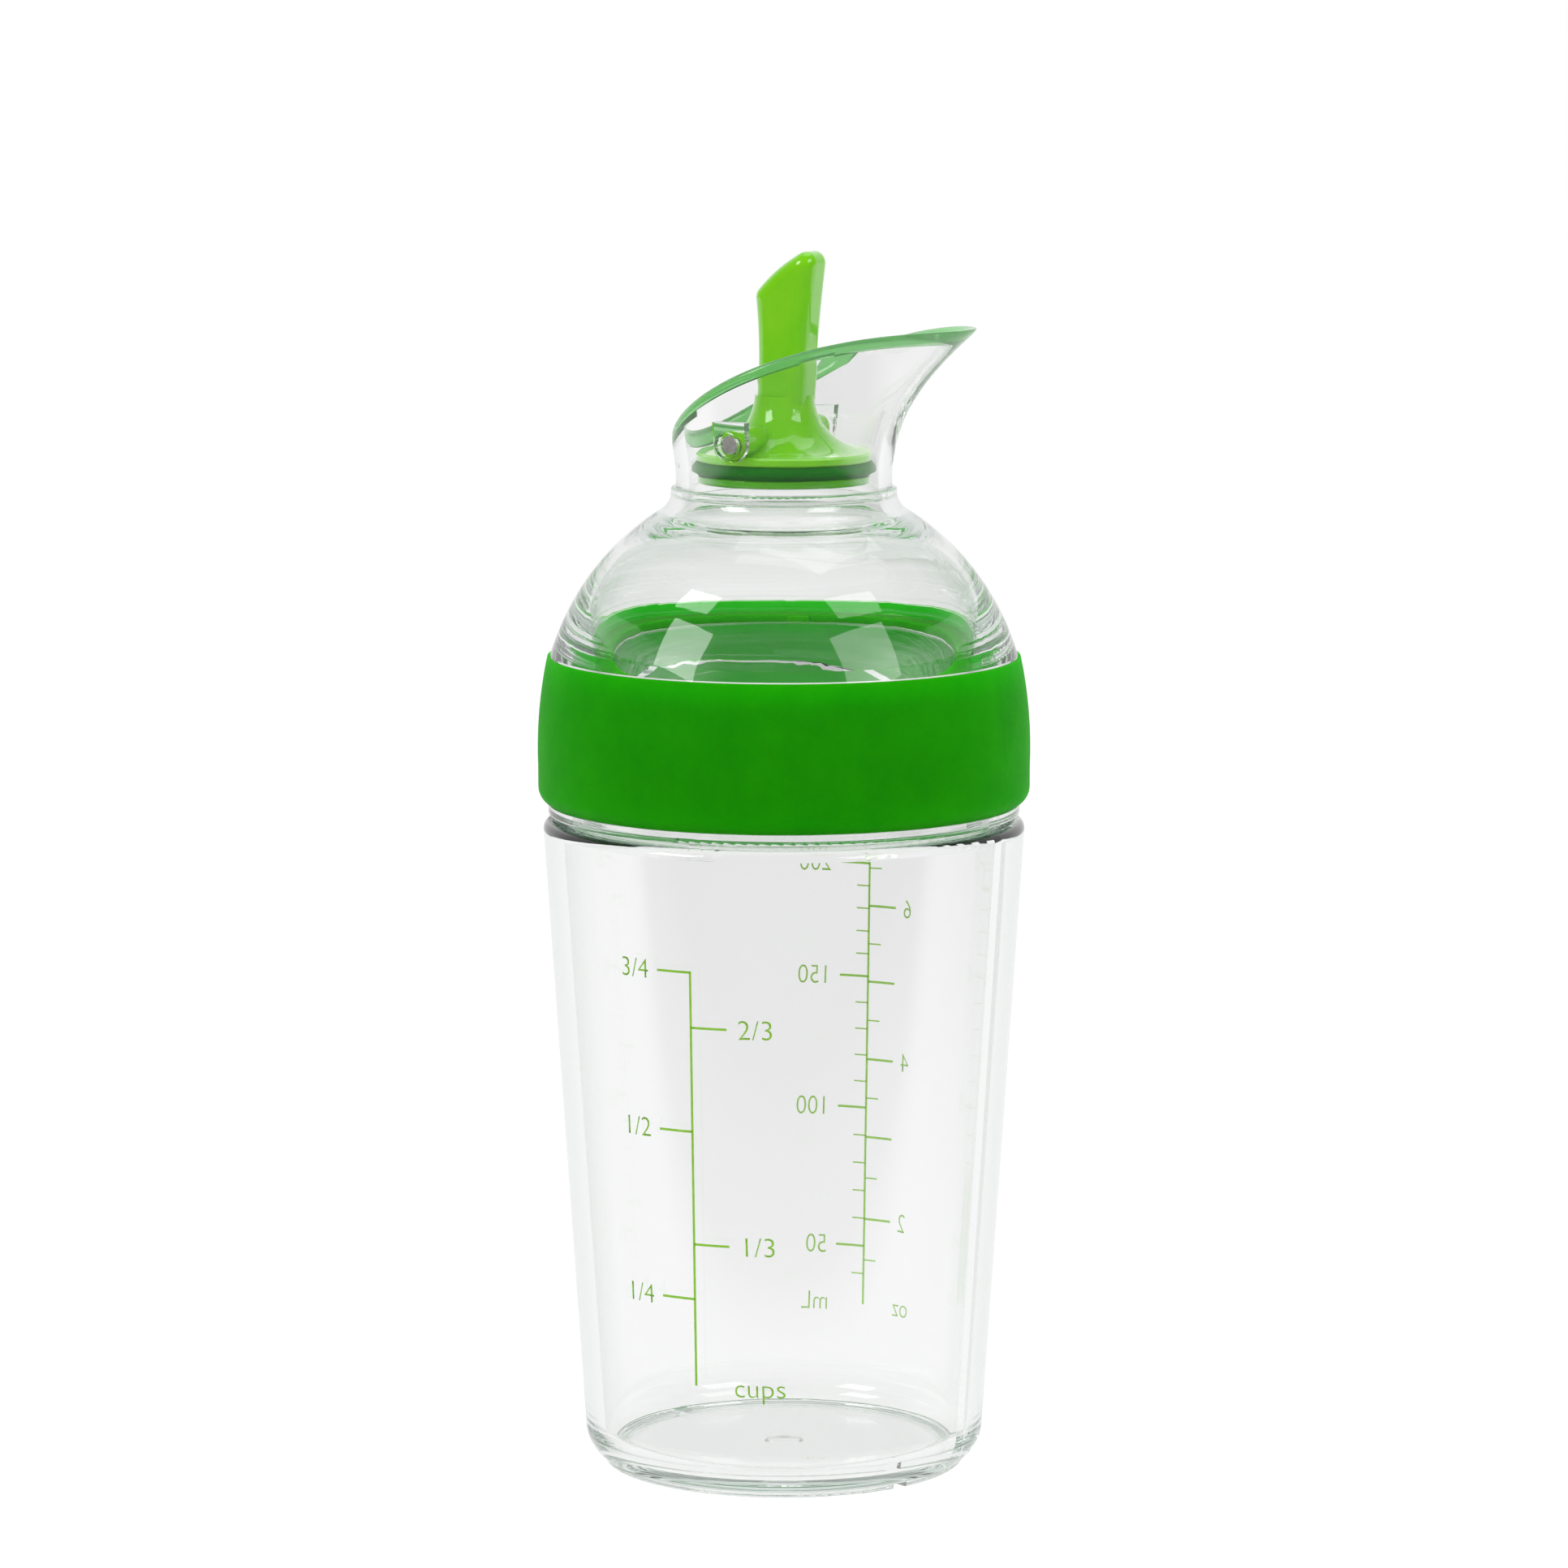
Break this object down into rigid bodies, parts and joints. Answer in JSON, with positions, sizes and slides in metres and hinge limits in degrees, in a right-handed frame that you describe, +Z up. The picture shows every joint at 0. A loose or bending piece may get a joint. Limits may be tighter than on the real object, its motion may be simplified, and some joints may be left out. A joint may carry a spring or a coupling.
{
  "type": "salad dressing shaker bottle",
  "caption": "Clear salad dressing shaker with a tapered cup, a screw-on domed top with a soft grip band, a pouring lip and a flip lever that opens the stopper.",
  "frame": {"origin": "centre of the foot ring, on the table", "axes": "+Z up along the bottle, +X towards the pouring lip, Y along the hinge pin"},
  "size_m": [0.0696, 0.0696, 0.1728],
  "materials": {
    "cup": "polished clear",
    "dome": "polished clear",
    "pour_spout": "polished clear",
    "grip_band": "soft matt",
    "lid_gasket": "soft matt",
    "hinge_pin": "ground",
    "stopper_lever": "gloss",
    "stopper_seal": "soft satin",
    "stopper_base": "gloss"
  },
  "bodies": {
    "cup": {"cup": "cup"},
    "lid_seal": {"lid_gasket": "lid_gasket"},
    "top": {"dome": "dome", "pour_spout": "pour_spout", "grip_band": "grip_band", "hinge_pin": "hinge_pin"},
    "stopper": {"stopper_lever": "stopper_lever", "stopper_seal": "stopper_seal", "stopper_base": "stopper_base"}
  },
  "joints": [
    {"name": "top_lift", "type": "slide", "parent": "cup", "child": "lid_seal", "axis": [0, 0, 1], "range_m": [0, 0.0192]},
    {"name": "top_turn", "type": "hinge", "parent": "lid_seal", "child": "top", "pos_m": [0, 0, 0.1], "axis": [0, 0, 1], "range_deg": [0, 576]},
    {"name": "stopper_flip", "type": "hinge", "parent": "top", "child": "stopper", "pos_m": [-0.0011, 0, 0.1466], "axis": [0, -1, 0], "range_deg": [0, 60]}
  ],
  "couplings": [
    {"joint": "top_lift", "follows": "top_turn", "m_per_rad": 0.0019099}
  ]
}
